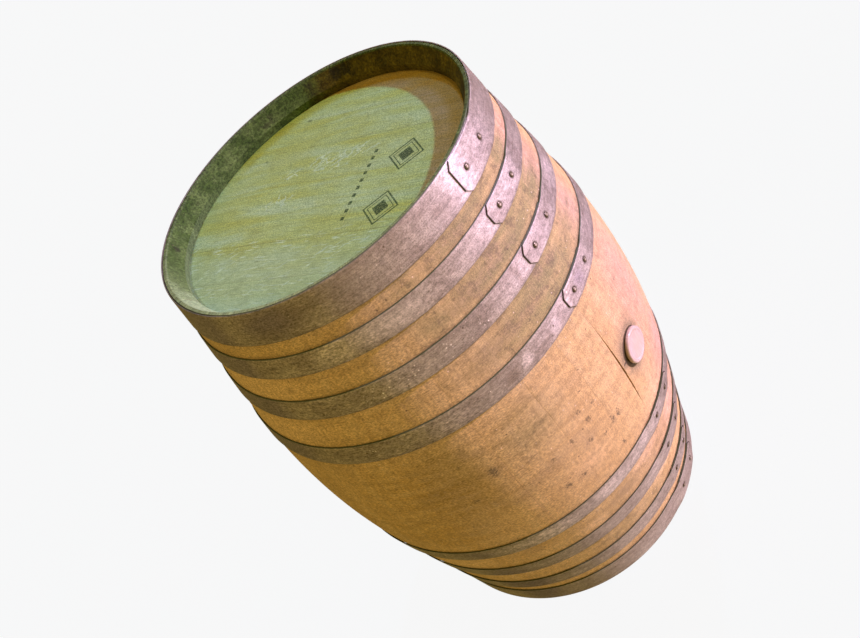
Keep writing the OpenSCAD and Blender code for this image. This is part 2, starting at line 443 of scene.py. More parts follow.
# Marks by the attribute that carries them. Each is a turn in degrees, a height, half a width
# and half a height in mm, and an amount.
WOOD_ZONES = {
    "grey": (
        (-155, 480, 70, 170, 0.75), (-130, 446, 38, 36, 0.5), (-100, 724, 14, 12, 0.9),
        (-94.5, 711, 16, 15, 1), (-117, 230, 36, 9, 1), (-116.5, 710, 20, 11, 0.9),
        (-109.5, 697, 16, 11, 0.9), (-106, 811, 18, 11, 0.9), (-119.5, 806, 14, 11, 0.8),
        (-112, 702, 120, 16, 0.8), (-112, 795, 140, 16, 0.8), (-114, 875, 130, 10, 0.7),
        (-120, 236, 70, 18, 0.7), (-126, 378, 22, 24, 0.35), (-119, 426, 14, 22, 0.45),
        (-110, 412, 9, 22, 0.6), (-114, 490, 14, 22, 0.45), (-134, 700, 40, 24, 0.5),
        (-118, 795, 50, 22, 0.3), (-108, 700, 26, 20, 0.55), (-100, 870, 40, 12, 0.4),
        (20, 520, 120, 130, 0.4), (75, 400, 80, 120, 0.5), (-20, 600, 60, 100, 0.3),
        (120, 560, 90, 90, 0.45),
    ),
    "worn": (
        (-100, 701, 180, 60, 1.15), (-102, 797, 190, 60, 1.1), (-106, 875, 170, 60, 1),
        (-112, 236, 150, 40, 0.35), (-80, 797, 50, 40, 1.2), (-80, 873, 42, 40, 1.2),
        (-130, 873, 50, 40, 0.85), (-130, 800, 50, 40, 0.85), (-120, 141, 120, 40, 0.5),
        (-130, 550, 60, 60, 0.6), (-150, 560, 60, 90, 0.4), (-80, 236, 60, 40, 0.3),
        (60, 701, 190, 45, 0.5), (20, 236, 200, 40, 0.5),
    ),
    # partly brown stains, partly painted golden shade on the side away from the key light
    "brown_stain_and_shade": (
        (-160, 500, 90, 120, 0.9), (-168, 400, 120, 90, 0.6), (-140, 590, 60, 40, 0.3),
        (-149.5, 264, 30, 10, 0.7), (-164, 235, 70, 40, 0.3), (100, 480, 120, 120, 0.6),
    ),
    "rub": (
        (-107, 256, 46, 13, 1), (-133.5, 226, 34, 11, 0.8), (-82, 240, 60, 30, 0.9),
        (-100, 158, 60, 12, 0.9), (-116, 800, 20, 14, 0.5), (-140, 388, 26, 22, 0.5),
        (-117, 142, 30, 16, 0.6), (-94, 330, 70, 30, 0.5), (-142, 600, 50, 30, 0.5),
        (-192, 700, 110, 34, 0.9), (-190, 798, 130, 34, 0.9), (-178, 235, 90, 30, 0.7),
        (-122, 385, 60, 34, 0.5), (40, 470, 60, 60, 0.5), (150, 420, 70, 60, 0.4),
    ),
    # painted light: a pink tint on the side of the barrel that faces the key light
    "painted_pink_light": (
        (-74, 520, 95, 170, 0.85), (-74, 340, 80, 90, 1), (-78, 236, 120, 40, 0.7),
        (-72, 700, 60, 60, 1), (-70, 800, 60, 60, 0.9), (-68, 873, 70, 50, 0.8),
        (-100, 240, 80, 60, 0.35),
    ),
}
# Hoops: rubbed bright with painted highlight, dulled with patina and painted shade, stained, and
# flecked with pale paint.
STEEL_ZONES = {
    # partly real scuffs, partly painted highlight where the light glances off the hoops
    "scuff_and_sheen": (
        (-99, 925, 40, 60, 1), (-84, 925, 70, 30, 0.55), (-103, 841, 30, 30, 0.5),
        (-86, 841, 80, 30, 0.5), (-104, 753, 26, 24, 0.4), (-90, 753, 34, 30, 0.45),
        (-78, 753, 40, 30, 0.4), (-68, 753, 60, 30, 0.7), (-100, 649, 10, 16, 0.6),
        (-118.5, 648, 13, 12, 1.1), (-107, 647, 14, 12, 1), (-73, 649, 40, 30, 0.5),
        (-142, 649, 46, 24, 0.6), (-146, 760, 60, 140, 0.6), (-139, 841, 100, 24, 0.9),
        (-156, 841, 50, 24, 1.15), (-146, 291, 120, 24, 0.85), (-104, 291, 90, 24, 0.75),
        (-121, 291, 60, 24, 1), (-102, 186, 100, 30, 0.45), (60, 900, 60, 60, 0.6),
        (140, 700, 50, 90, 0.6), (20, 240, 60, 70, 0.6),
    ),
    # partly patina, partly painted shade on the side away from the light
    "patina_and_shade": (
        (-198, 800, 84, 300, 1.3), (-168, 925, 80, 34, 0.8), (-168, 100, 60, 120, 1.2),
        (-92, 649, 26, 24, 0.5), (-168, 291, 50, 24, 0.6), (100, 649, 90, 60, 0.7),
        (0, 841, 70, 60, 0.5), (60, 60, 90, 90, 0.6),
    ),
    "stain": (
        (-124, 643, 14, 8, 0.9), (-113, 640, 20, 6, 0.5), (-105.6, 754, 2.6, 20, 0.8),
        (-104, 760, 7, 5, 0.5), (-111, 920, 12, 10, 0.4), (-180, 925, 6, 6, 0.8),
        (-178, 841, 4, 4, 0.9), (-182, 753, 4, 4, 0.9), (-176, 649, 4, 4, 0.7),
        (-158, 930, 40, 16, 0.55), (-170, 900, 50, 12, 0.5), (130, 841, 30, 14, 0.7),
    ),
    "flecks": (
        (-152, 753, 36, 15, 1), (-144, 757, 20, 10, 1), (-186, 757, 9, 7, 0.9),
        (-132, 651, 12, 9, 1), (-166, 649, 16, 9, 0.7), (-130, 760, 20, 9, 0.8),
        (-120, 748, 20, 9, 0.5), (70, 753, 60, 16, 0.8),
    ),
}


# ---------------------------------------------------------------- staves

SHARES = (16.6, 11.8, 13.2, 16.8, 10.4, 12.6, 9.6, 13.4, 11.2, 12,
          10, 13.8, 11.4, 9.8, 12.8, 11.6, 10.6, 13, 9.4, 12.2,
          11, 13.6, 10.2, 12.4, 9.9, 13.1, 11.3, 10.8, 12.7, 12.8)
FIRST_SEAM = FRONT + SHARES[0] / 2
SEAM_GAP = 0.03
BEVEL_H, RIM_R, BEVEL_R = 28.5, 284, 266.57
CROZE = (43, 52, 274.14)
EDGE_STEPS = (0, 0.3, 0.9, 1.9, 3.4)
# a stave's materials: its surface, and the chime's inside and end grain
WEATHERED, BARE = 0, 1
# half the window left in the bung stave, and the radius of the hole outside and inside
WINDOW_HALF = 40
HOLE_R = {"out": 28.2, "in": 25.6}


def open_joint(z):
    """Half gap of the one joint that has opened, beside the bung."""
    return 1.75 * smooth(z, 352, 415) * (1 - smooth(z, 455, 600)) + SEAM_GAP


def stave_rows():
    """Rows from the bottom end up: outer height, inner height, inner radius."""
    low = [(e, e, RIM_R - (RIM_R - BEVEL_R) * e / BEVEL_H)
           for e in (0, 0.5, 1.3, 2.6, 5, 9, 14, 20, 25)]
    low += [(e, e, None) for e in (BEVEL_H, 34, 39, 42)]
    low += [(42.9, 43, None), (43.1, 43, CROZE[2]), (47.5, 47.5, CROZE[2]),
            (51.9, 52, CROZE[2]), (52.1, 52, None)]
    e = 57
    while e < HALF - 3:
        low.append((e, e, None))
        e += 6
    rows = []
    for z, in_z, r in low:
        rows.append((z, in_z, float(wood_r(in_z)) - STAVE_T if r is None else r))
    rows += [(HEIGHT - a, HEIGHT - b, r) for a, b, r in reversed(rows)]
    return rows


def stave_columns(width, window=False):
    """Distances in mm across a stave from one seam, closer together near its edges."""
    inner = width - 2 * EDGE_STEPS[-1]
    n = max(6, int(round(inner / 6)))
    mid = [EDGE_STEPS[-1] + inner * k / n for k in range(1, n)]
    if window:
        c = width / 2
        mid = [m for m in mid if abs(m - c) > WINDOW_HALF + 1.5]
        mid += [c + WINDOW_HALF * k / 8 for k in range(-8, 9)]
    cols = list(EDGE_STEPS) + sorted(mid) + [width - s for s in reversed(EDGE_STEPS)]
    return np.array(cols)


def stave_surface(index, d, width, z):
    """Outer radius of a stave, with eased edges, its own crown and rubbed corners."""
    away = np.minimum(d, width - d)
    rng = np.random.default_rng(500 + index)
    ease = rng.uniform(0.05, 0.13) * (1 + 0.5 * wobble(z / 90, 40 + index))
    fall = ease * (1 - smooth(away, 0, 3.2)) ** 2
    sunk = rng.uniform(0, 0.12) if index else 0.05
    crown = 0.12 * (2 * d / width - 1) ** 2
    wave = 0.18 * (1 + wobble(z / 60 + d / 30, 80 + index))
    end = np.minimum(z, HEIGHT - z)
    rim_ease = 1.1 * (1 - smooth(end, 0, 2.2))
    return wood_r(z) - 0.2 - fall - sunk - crown - wave - rim_ease


def sawn_ends(z, depth):
    """Heights drawn in by depth at both ends of a stave, fading over 60 mm."""
    return z + depth * np.where(z < HALF, 1 - smooth(z, 0, 60), -smooth(z, HEIGHT - 60, HEIGHT))


def build_staves(outer_mat, chime_mat):
    """One stave for each share of the circle, clockwise from the bung stave's right seam."""
    out_z, in_z, in_r = np.array(stave_rows()).T
    seam = FIRST_SEAM
    for i, share in enumerate(SHARES):
        has_bung = i == 0
        width = math.radians(share) * BILGE_R
        cols = stave_columns(width, has_bung)
        zs_out, zs_in, rs_in = out_z, in_z, in_r
        if has_bung:
            keep = np.abs(out_z - BUNG_Z) > WINDOW_HALF + 1.5
            extra = BUNG_Z + WINDOW_HALF * np.arange(-8, 9) / 8
            zs_out = np.concatenate([out_z[keep], extra])
            order = np.argsort(zs_out, kind="stable")
            zs_out = zs_out[order]
            zs_in = np.concatenate([in_z[keep], extra])[order]
            rs_in = np.concatenate([in_r[keep], wood_r(extra) - STAVE_T])[order]
        D, Z = np.meshgrid(cols, zs_out)
        # half gaps at each side, wider along the opened joint
        closed = np.full_like(zs_out, SEAM_GAP)
        near_gap = open_joint(zs_out) if i == 1 else closed
        far_gap = open_joint(zs_out) if has_bung else closed
        t_frac = D / width
        gap_shift = (near_gap[:, None] * (1 - smooth(D, 0, width / 3))
                     - far_gap[:, None] * (1 - smooth(width - D, 0, width / 3)))
        theta = seam - share * t_frac - np.degrees(gap_shift / wood_r(Z))
        # the two ends are sawn a little unevenly
        rng = np.random.default_rng(900 + i)
        sawn = rng.uniform(0, 0.2) + 0.15 * (1 + wobble(theta / 4, 60 + i))
        z_fix = sawn_ends(Z, sawn)
        outer = polar(stave_surface(i, D, width, Z), theta, z_fix)

        Zi = np.repeat(zs_in[:, None], len(cols), 1)
        Ri = np.repeat(rs_in[:, None], len(cols), 1)
        theta_i = seam - share * t_frac - np.degrees(SEAM_GAP * (1 - 2 * t_frac) / Ri)
        chip = 0.14 * (1 + wobble(theta_i / 3 + Zi / 25, 160 + i))
        zi_fix = sawn_ends(Zi, sawn)
        near_bevel = np.minimum(Zi, HEIGHT - Zi) < BEVEL_H
        edge = 1 - smooth(np.minimum(D, width - D), 0, 2.4)
        inner = polar(Ri + np.where(near_bevel, chip * 0.6, chip * 0.25) + 0.1 * edge,
                      theta_i, zi_fix)

        nr, nc = D.shape
        off = nr * nc
        hole_cols = hole_rows = ()
        if has_bung:
            hole_cols = [k for k in range(nc) if abs(cols[k] - width / 2) < WINDOW_HALF + 0.01]
            hole_rows = [j for j in range(nr) if abs(zs_out[j] - BUNG_Z) < WINDOW_HALF + 0.01]
        faces, mat_id = [], []

        def put(face, mat):
            faces.append(face)
            mat_id.append(mat)

        for j in range(nr - 1):
            lining = BARE if min(zs_in[j], HEIGHT - zs_in[j + 1]) < 56 else WEATHERED
            for k in range(nc - 1):
                if k in hole_cols[:-1] and j in hole_rows[:-1]:
                    continue
                a = j * nc + k
                put((a, a + nc, a + nc + 1, a + 1), WEATHERED)
                b = a + off
                put((b, b + 1, b + nc + 1, b + nc), lining)
            a, b = j * nc, j * nc + off
            put((a, b, b + nc, a + nc), WEATHERED)
            a, b = a + nc - 1, b + nc - 1
            put((a, a + nc, b + nc, b), WEATHERED)
        for k in range(nc - 1):
            a, b = k, k + off
            put((a, a + 1, b + 1, b), BARE)
            a, b = off - nc + k, 2 * off - nc + k
            put((a, b, b + 1, a + 1), BARE)

        points = [np.concatenate([outer.reshape(-1, 3), inner.reshape(-1, 3)]),
                  np.concatenate([theta.ravel(), theta_i.ravel()]),
                  np.concatenate([z_fix.ravel(), zi_fix.ravel()]),
                  np.concatenate([D.ravel(), D.ravel()])]
        if has_bung:
            points = bung_hole(points, faces, mat_id, hole_cols, hole_rows, nc, off, width)
        verts, th_all, z_all, d_all = points
        attrs = {"tint": np.full(len(verts), np.random.default_rng(300 + i).uniform(0, 1)),
                 "seam": 1 - smooth(np.minimum(d_all, width - d_all), 0, 3.6),
                 "hoop_grime_and_shade": hoop_grime_and_shade(z_all)}
        for key, zones in WOOD_ZONES.items():
            attrs[key] = blobs(th_all, z_all, zones)
        name = "stave_%02d" % (i + 1) if i else "bung_stave"
        add_piece("oak_" + name, verts, faces, [outer_mat, chime_mat], "stave_oak", [name],
                  attrs, 32, mat_id, uv=unroll(th_all, z_all))
        seam -= share


def hoop_grime_and_shade(z):
    """Grime on the wood in the few millimetres beside each hoop, together with painted shade where
    the hoop's edge stands off the wood.
    """
    out = np.zeros_like(z)
    for low, high, _ in HOOPS.values():
        below = np.clip(1 - (low - z) / 12, 0, 1) * (z < low + 1)
        above = np.clip(1 - (z - high) / 7, 0, 1) * (z > high - 1)
        out = np.maximum(out, np.maximum(below * 0.8, above))
    return out


def bung_hole(points, faces, mat_id, hole_cols, hole_rows, nc, off, width):
    """Fills the window left in the bung stave with rings that close on a round hole."""
    def border(shift):
        bottom = [hole_rows[0] * nc + k for k in hole_cols]
        right = [j * nc + hole_cols[-1] for j in hole_rows[1:]]
        top = [hole_rows[-1] * nc + k for k in reversed(hole_cols[:-1])]
        left = [j * nc + hole_cols[0] for j in reversed(hole_rows[1:-1])]
        return [v + shift for v in bottom + right + top + left]

    verts, th_all, z_all, d_all = ([*map(tuple, points[0])], *map(list, points[1:]))

    def add(point, theta, z, d):
        verts.append(tuple(point))
        th_all.append(theta)
        z_all.append(z)
        d_all.append(d)
        return len(verts) - 1

    def join(a, b, flip, mat):
        faces.extend(band(a, b, flip))
        mat_id.extend([mat] * len(a))

    last = {}
    for side, shift in (("out", 0), ("in", off)):
        before = edge = border(shift)
        for s in (0.25, 0.5, 0.7, 0.84, 0.93, 1):
            ring = []
            for v in edge:
                across, rise = d_all[v] - width / 2, z_all[v] - BUNG_Z
                angle = math.atan2(rise, across)
                x = across * (1 - s) + HOLE_R[side] * math.cos(angle) * s
                z = rise * (1 - s) + HOLE_R[side] * math.sin(angle) * s
                d, zp = width / 2 + x, BUNG_Z + z
                theta = FIRST_SEAM - SHARES[0] * d / width
                if side == "out":
                    # the hole's outer edge is eased by handling
                    r = float(stave_surface(0, np.array(d), width, np.array(zp)))
                    r -= 0.9 * float(1 - smooth(math.hypot(x, z), 28, 31.5)) ** 2
                else:
                    r = float(wood_r(zp)) - STAVE_T
                ring.append(add(polar(r, theta, np.array(zp)), theta, zp, d))
            join(before, ring, side == "out", WEATHERED)
            before = ring
        last[side] = before
    # the tapered wall of the hole
    before = last["out"]
    for s in (0.06, 0.3, 0.55, 0.8):
        ring = []
        for v, w in zip(last["out"], last["in"]):
            point = np.array(verts[v]) * (1 - s) + np.array(verts[w]) * s
            ring.append(add(point, th_all[v], z_all[v], d_all[v]))
        join(before, ring, True, BARE)
        before = ring
    join(before, last["in"], True, BARE)
    return [np.array(values) for values in (verts, th_all, z_all, d_all)]


# ---------------------------------------------------------------- heads

BOARD_SEAMS = (-273.74, -190, -112, 17.5, 106, 181, 273.74)
# Heights above this belong to a head's face, which is sunk and wavy.
FACE_ABOVE = 908.5
# The head's outline from its face round its bevelled edge: radius, height.
HEAD_RINGS = ((263.64, 909), (267.64, 906.7), (273.74, 906.7), (273.74, 898.3),
              (266.64, 898.3), (248.64, 887))


def build_heads(upper_mat, lower_mat):
    for which, mat in (("upper", upper_mat), ("lower", lower_mat)):
        for b in range(len(BOARD_SEAMS) - 1):
            build_board(which, b, BOARD_SEAMS[b], BOARD_SEAMS[b + 1], mat)


def build_board(which, b, lo, hi, mat):
    """One board, as outlines across it from its face round the rim to its underside."""
    left_rim, right_rim = b == 0, b == len(BOARD_SEAMS) - 2
    gap, ny, n = 0.1, 36, 14
    span = hi - lo
    # positions across the board, closer together near each seam
    steps = [0, 0.35, 1, 2.2, 4]
    t = [s / span for s in steps]
    if right_rim or left_rim:
        t += [4 / span + (1 - 4 / span) * math.sin(math.pi / 2 * k / n)
              for k in range(1, n + 1)]
    else:
        t += [4 / span + (1 - 8 / span) * k / n for k in range(1, n)]
        t += [1 - s / span for s in reversed(steps)]
    rng = np.random.default_rng(700 + b + (20 if which == "lower" else 0))
    sunk = rng.uniform(0.1, 0.3)
    verts, from_seams, columns = [], [], []

    def put(x, y, z):
        from_seam = min(99 if left_rim else abs(x - lo), 99 if right_rim else abs(hi - x))
        near = 1 - float(smooth(from_seam, 0, 3))
        if z > FACE_ABOVE:
            wave = 0.12 * (1 + float(wobble(x / 22 + y / 160, 210 + b)))
            z -= 0.22 * near ** 2 + wave + sunk
        columns[-1].append(len(verts))
        verts.append((x, y, HEIGHT - z if which == "lower" else z))
        from_seams.append(near)

    def half_chord(ring, tk):
        """Where the board's line at tk meets a ring of the outline: x, y and height."""
        r, z = ring
        near, far = lo + gap, hi - gap
        if right_rim:
            far = r
        elif left_rim:
            near, far = hi - gap, -r
        x = near + (far - near) * tk
        return x, math.sqrt(max(r * r - x * x, 0)), z

    across = [math.sin(math.pi / 2 * (2 * k / ny - 1)) for k in range(ny + 1)]
    for tk in t:
        columns.append([])
        x, y, z = half_chord(HEAD_RINGS[0], tk)
        for part in across:
            put(x, y * part, z)
        for ring in HEAD_RINGS[1:]:
            put(*half_chord(ring, tk))
        x, y, z = half_chord(HEAD_RINGS[-1], tk)
        for part in across[1:]:
            put(x, -y * part, z)
        for ring in reversed(HEAD_RINGS[1:-1]):
            x, y, z = half_chord(ring, tk)
            put(x, -y, z)
    flip = left_rim != (which == "lower")
    faces = []
    for before, col in zip(columns, columns[1:]):
        faces += band(before, col, True)
    if flip:
        faces = [f[::-1] for f in faces]
    # the seam faces, as strips between the top and the underside
    rim = len(HEAD_RINGS) - 1
    for col in columns[:1] if left_rim or right_rim else (columns[0], columns[-1]):
        top, east = col[:ny + 1], col[ny + 1:ny + 1 + rim]
        under, west = col[ny + rim:2 * ny + rim + 1], col[2 * ny + rim + 1:]
        strip = [(top[k], top[k + 1], under[ny - k - 1], under[ny - k]) for k in range(ny)]
        strip += [(top[-1], *east), (under[-1], *west, top[0])]
        faces += strip if (col is columns[0]) != flip else [f[::-1] for f in strip]
    verts = np.array(verts)
    name = "%s_head_board_%d" % (which, b + 1)
    attrs = {"tint": np.full(len(verts), rng.uniform(0, 1)), "seam": from_seams}
    clean(add_piece("oak_" + name, verts, faces, [mat], "head_oak", [name], attrs, 28,
                    uv=verts[:, :2] * MM))


# ---------------------------------------------------------------- hoops and rivets

# A band's thickness, its gap from the wood, and how much further out it lies in its lap.
BAND_T, BAND_GAP, LAP_LIFT = 2, 0.3, 2.2
# How far the strip's visible end reaches past the lap's middle, its hidden end the other way.
LAP_SHOWN, LAP_HIDDEN = 57.5, 50
# What is cut off each corner of the strip, and where the rivets are from the lap's middle.
CORNER = 10
RIVET_SIDES = (-29.5, 29.5)


def build_hoop(name, low, high, turn, mat):
    """One riveted band: a strip once round, whose end lies over its own start."""
    upper = low > HALF
    mean_r = float(wood_r((low + high) / 2))
    # along the strip in mm: us = 0 at the visible end, growing under the lap and round
    lap_end, ramp = LAP_SHOWN + LAP_HIDDEN, 26
    around = 2 * math.pi * mean_r
    length = around + lap_end
    us = [0, 0.5, 1.2, 2.4, 5, 7.5, 10, 11, 14]
    u = 20
    while u < length - 3:
        us.append(u)
        u += 5 if u < lap_end + ramp + 12 or u > around - 14 else 8
    us = np.array(us + [length])
    # the strip lies further out while it is over its own start
    lift = LAP_LIFT * (1 - smooth(us, lap_end - 4, lap_end + ramp))
    to_degrees = (1 if upper else -1) * (180 / math.pi / mean_r)
    theta = FRONT + turn + (us - LAP_SHOWN) * to_degrees
    wave = 0.22 * wobble(np.radians(theta) * 7, int(low) + 5, 5)
    edge_wave = 0.25 * wobble(np.radians(theta) * 3, int(low) + 7, 4)
    # the corners are cut off, and the stretch that lies on top is a little narrower
    clip = np.maximum(np.maximum(0, CORNER - us) * (us < 20),
                      np.maximum(0, CORNER - (length - us)) * (us > length - 20))
    narrow = 0.4 * (us < lap_end)
    lowest, highest = low + narrow + clip, high - narrow - clip
    lo_k = lowest + np.maximum(edge_wave, 0) * 0.5
    hi_k = highest - np.maximum(-edge_wave, 0) * 0.5
    levels = (0, 0.012, 0.035, 0.12, 0.3, 0.5, 0.7, 0.88, 0.965, 0.988, 1)
    span = high - low
    rows = []
    for outside, fs in ((True, levels), (False, levels[::-1])):
        for f in fs:
            z = lo_k + (hi_k - lo_k) * f
            r = wood_r(low) + (wood_r(high) - wood_r(low)) * (z - low) / span
            r = r + BAND_GAP + 0.14 * math.sin(math.pi * f) + wave * 0.6
            rounding = 0.55 * (1 - smooth(min(f, 1 - f) * span, 0, 1.6)) ** 2
            r = r + (BAND_T + lift - rounding if outside else lift * 0.98 + rounding * 0.3)
            rows.append(polar(r, theta, z))
    verts = np.concatenate(rows)
    nl, nu, m = len(rows), len(us), len(levels)
    faces = []
    for j in range(nl):
        j2 = (j + 1) % nl
        for k in range(nu - 1):
            face = (j * nu + k, j * nu + k + 1, j2 * nu + k + 1, j2 * nu + k)
            faces.append(face if upper else face[::-1])
    for k in (0, nu - 1):
        for j in range(m - 1):
            face = tuple(row * nu + k for row in (j, j + 1, nl - 2 - j, nl - 1 - j))
            faces.append(face if (k == 0) == upper else face[::-1])
    th, zz = np.tile(theta, nl), verts[:, 2]
    tint = np.random.default_rng(int(low) + 11).uniform(0, 1)
    # top_edge and low_edge carry painted shade, with some grime, along the band's edges
    attrs = {"top_edge": np.clip(1 - (high - zz) / 2.4, 0, 1) * (0.62 if high == HEIGHT else 1),
             "low_edge": np.clip(1 - (zz - low) / 7, 0, 1),
             "tint": np.full(len(verts), tint),
             "cut": lap_end_shade(us, zz.reshape(nl, nu), lowest, highest)}
    for key, zones in STEEL_ZONES.items():
        attrs[key] = blobs(th, zz, zones)
    clean(add_piece("band_" + name, verts, faces, [mat], "hoop_steel", [name], attrs, 40,
                    uv=unroll(th, zz)))


def lap_end_shade(us, z, lo, hi):
    """1 along the sheared end of the lap, falling to 0 a little way in from it: where the lap's
    step is painted with shadow.
    """
    inset = np.minimum(us[None, :], np.minimum(z - lo[None, :], hi[None, :] - z))
    return (np.clip(1 - inset / 2.4, 0, 1) * (us[None, :] < CORNER + 0.6)).ravel()


def rivet_places(low, high, turn):
    """Turn in degrees of the two rivets of a hoop's lap."""
    radius = float(wood_r((low + high) / 2))
    return [FRONT + turn + math.degrees(side / radius) for side in RIVET_SIDES]


def build_rivets(mat):
    """Two hammered domes through each lap."""
    verts, faces, head = [], [], []
    # radius, height
    profile = ((4.75, 0), (4.85, 0.35), (4.6, 1), (3.9, 1.75), (2.8, 2.35), (1.5, 2.68),
               (0.7, 2.76))
    n = 24
    places = [(low, high, th) for low, high, turn in HOOPS.values()
              for th in rivet_places(low, high, turn)]
    for seed, (low, high, th) in enumerate(places):
        lean = np.random.default_rng(seed).uniform(-1, 1, 4)
        th = math.radians(th)
        slope = (float(wood_r(high)) - float(wood_r(low))) / (high - low)
        centre_r = (float(wood_r(low)) + float(wood_r(high))) / 2 + BAND_GAP + BAND_T + LAP_LIFT
        radial = np.array([math.cos(th), math.sin(th), -slope])
        radial /= np.linalg.norm(radial)
        along = np.array([-math.sin(th), math.cos(th), 0])
        up = np.cross(radial, along)
        foot = np.array([centre_r * math.cos(th), centre_r * math.sin(th), (low + high) / 2])
        foot -= radial * 0.15
        rings = []
        for r, h in profile:
            rings.append([len(verts) + q for q in range(n)])
            for q in range(n):
                a = 2 * math.pi * q / n
                rr = r * (1 + 0.03 * lean[0] * math.cos(2 * a + lean[1] * 3))
                hh = h * (1 + 0.07 * lean[2] * math.cos(a + lean[3] * 3) * r / 4.8)
                verts.append(foot + along * rr * math.cos(a) + up * rr * math.sin(a)
                             + radial * hh)
                head.append(h / 2.8)
        tip, base = len(verts), len(verts) + 1
        verts += [foot + radial * 2.78, foot]
        head += [1, 0]
        for before, ring in zip(rings, rings[1:] + [[tip] * n]):
            faces += band(before, ring)
        faces += [(rings[0][(q + 1) % n], rings[0][q], base) for q in range(n)]
    clean(add_piece("rivet_heads", verts, faces, [mat], "rivet_steel", ["hoop_rivets"],
                    {"height": head}, 50))


# ---------------------------------------------------------------- bung

def build_bung(mat):
    """Turned oak bung: dished face, raised rim, rounded collar and a tapered plug."""
    # radius, distance out from the axis of the barrel
    profile = [
        (0, 360.62), (6, 360.6), (12, 360.58), (18, 360.6), (22.5, 360.7), (24.2, 360.95),
        (25.3, 361.45), (26.3, 361.85), (27.4, 361.98), (28.6, 361.98), (29.7, 361.75),
        (30.6, 361.2), (31.3, 360.4), (31.75, 359.4), (31.95, 358.2), (32, 357), (31.95, 356),
        (31.6, 355.25), (30.6, 354.95), (28.6, 354.9), (27.66, 354.5), (27.2, 349), (26.6, 342),
        (26, 335), (25.4, 328.5), (24.9, 323.5), (24.3, 321.2), (23, 320.5), (14, 320.5),
        (0, 320.5)]
    n = 96
    verts, faces, flat = [], [], []
    for r, d in profile:
        if r == 0:
            verts.append((0, -d, BUNG_Z))
            flat.append(1)
            continue
        for q in range(n):
            a = 2 * math.pi * q / n
            rr = r * (1 + 0.003 * math.cos(2 * a + 0.7))
            wear = 0
            if 24 < r < 31 and d > 360:
                wear = 0.12 * (1 + math.sin(3 * a + 1) * math.cos(2 * a))
            verts.append((rr * math.cos(a), -(d - wear), BUNG_Z + rr * math.sin(a)))
            flat.append(1 if r < 24.5 and d > 350 else 0)

    def ring(k):
        if k == 0:
            return [0] * n
        if k == len(profile) - 1:
            return [len(verts) - 1] * n
        return [1 + (k - 1) * n + q for q in range(n)]

    for k in range(len(profile) - 1):
        faces += band(ring(k), ring(k + 1))
    verts = np.array(verts)
    clean(add_piece("oak_bung", verts, faces, [mat], "bung_wood", ["bung"], {"flat": flat}, 40,
                    body="bung", uv=verts[:, [0, 2]] * MM))


# ---------------------------------------------------------------- materials

def at(theta, z, w, h, amount):
    """A mark on the unrolled wood, from degrees and mm."""
    theta = (theta - FIRST_SEAM) % 360 + FIRST_SEAM - 360
    return (math.radians(theta) * BILGE_R * MM, z * MM, w * MM, h * MM, amount)


DARK_SPOTS = [at(*m) for m in (
    (-143.6, 513, 8, 13, 0.85), (-131, 378, 10, 7, 0.75), (-125.6, 373, 7, 5, 0.7),
    (-118.8, 426, 8, 7, 0.6), (-114.3, 406, 6, 6, 0.55), (-110, 414, 5, 9, 0.75),
    (-107.6, 412, 4, 12, 0.7), (-110.7, 345, 3, 10, 0.6), (-116.9, 496, 6, 6, 0.5),
    (-100, 724, 17, 9, 0.38), (-94.5, 711, 17, 13, 0.42), (-117, 709, 22, 9, 0.36),
    (-109.5, 697, 17, 9, 0.36), (-106, 811, 18, 9, 0.36), (-119.5, 806, 15, 9, 0.34),
    (-117, 229, 34, 7, 0.22), (-131, 447, 26, 22, 0.24), (-127, 700, 20, 8, 0.3),
    (-88, 802, 16, 9, 0.34), (-84, 700, 16, 12, 0.3), (-92, 874, 20, 6, 0.3),
    (-112, 484, 5, 7, 0.5), (-116, 466, 8, 8, 0.5), (-123, 458, 7, 6, 0.45),
    (-130, 458, 6, 6, 0.45), (-143, 356, 6, 6, 0.4), (-153, 468, 9, 7, 0.45),
    (-150, 558, 8, 6, 0.4), (-124, 543, 2.5, 2.5, 0.8), (-113, 522, 3, 3, 0.8),
    (-72.6, 536, 4, 9, 0.55), (-73.8, 491, 3, 8, 0.5), (-98.6, 500, 5, 5, 0.35),
    (-82.4, 446, 2.5, 2.5, 0.7), (-78.6, 466, 3, 5, 0.35), (-81.6, 396, 2.5, 5, 0.4),
    (34, 540, 9, 12, 0.7), (52, 455, 7, 8, 0.6), (61, 510, 4, 4, 0.7), (-12, 420, 6, 14, 0.6),
    (118, 470, 10, 8, 0.6), (104, 560, 4, 5, 0.7), (142, 390, 6, 10, 0.5),
)]
HAIR_CHECKS = [at(*m) for m in (
    (-96.7, 456.5, 7, 1.8, 1), (-95.9, 455.5, 3.4, 3.4, 1), (-83.5, 558, 0.5, 16, 0.8),
    (-83.4, 402, 0.5, 11, 0.7), (-110.1, 470, 0.35, 110, 0.35), (-140.6, 440, 0.4, 105, 0.5),
    (-138, 485.5, 9, 1.4, 0.5), (-135.2, 489, 9, 1.4, 0.55), (-132.6, 492.5, 9, 1.4, 0.5),
    (-123.3, 500, 0.35, 150, 0.22), (-98.4, 600, 0.4, 26, 0.6), (24, 470, 0.4, 90, 0.5),
    (88, 540, 0.4, 60, 0.5), (-46, 430, 0.4, 70, 0.5),
)]


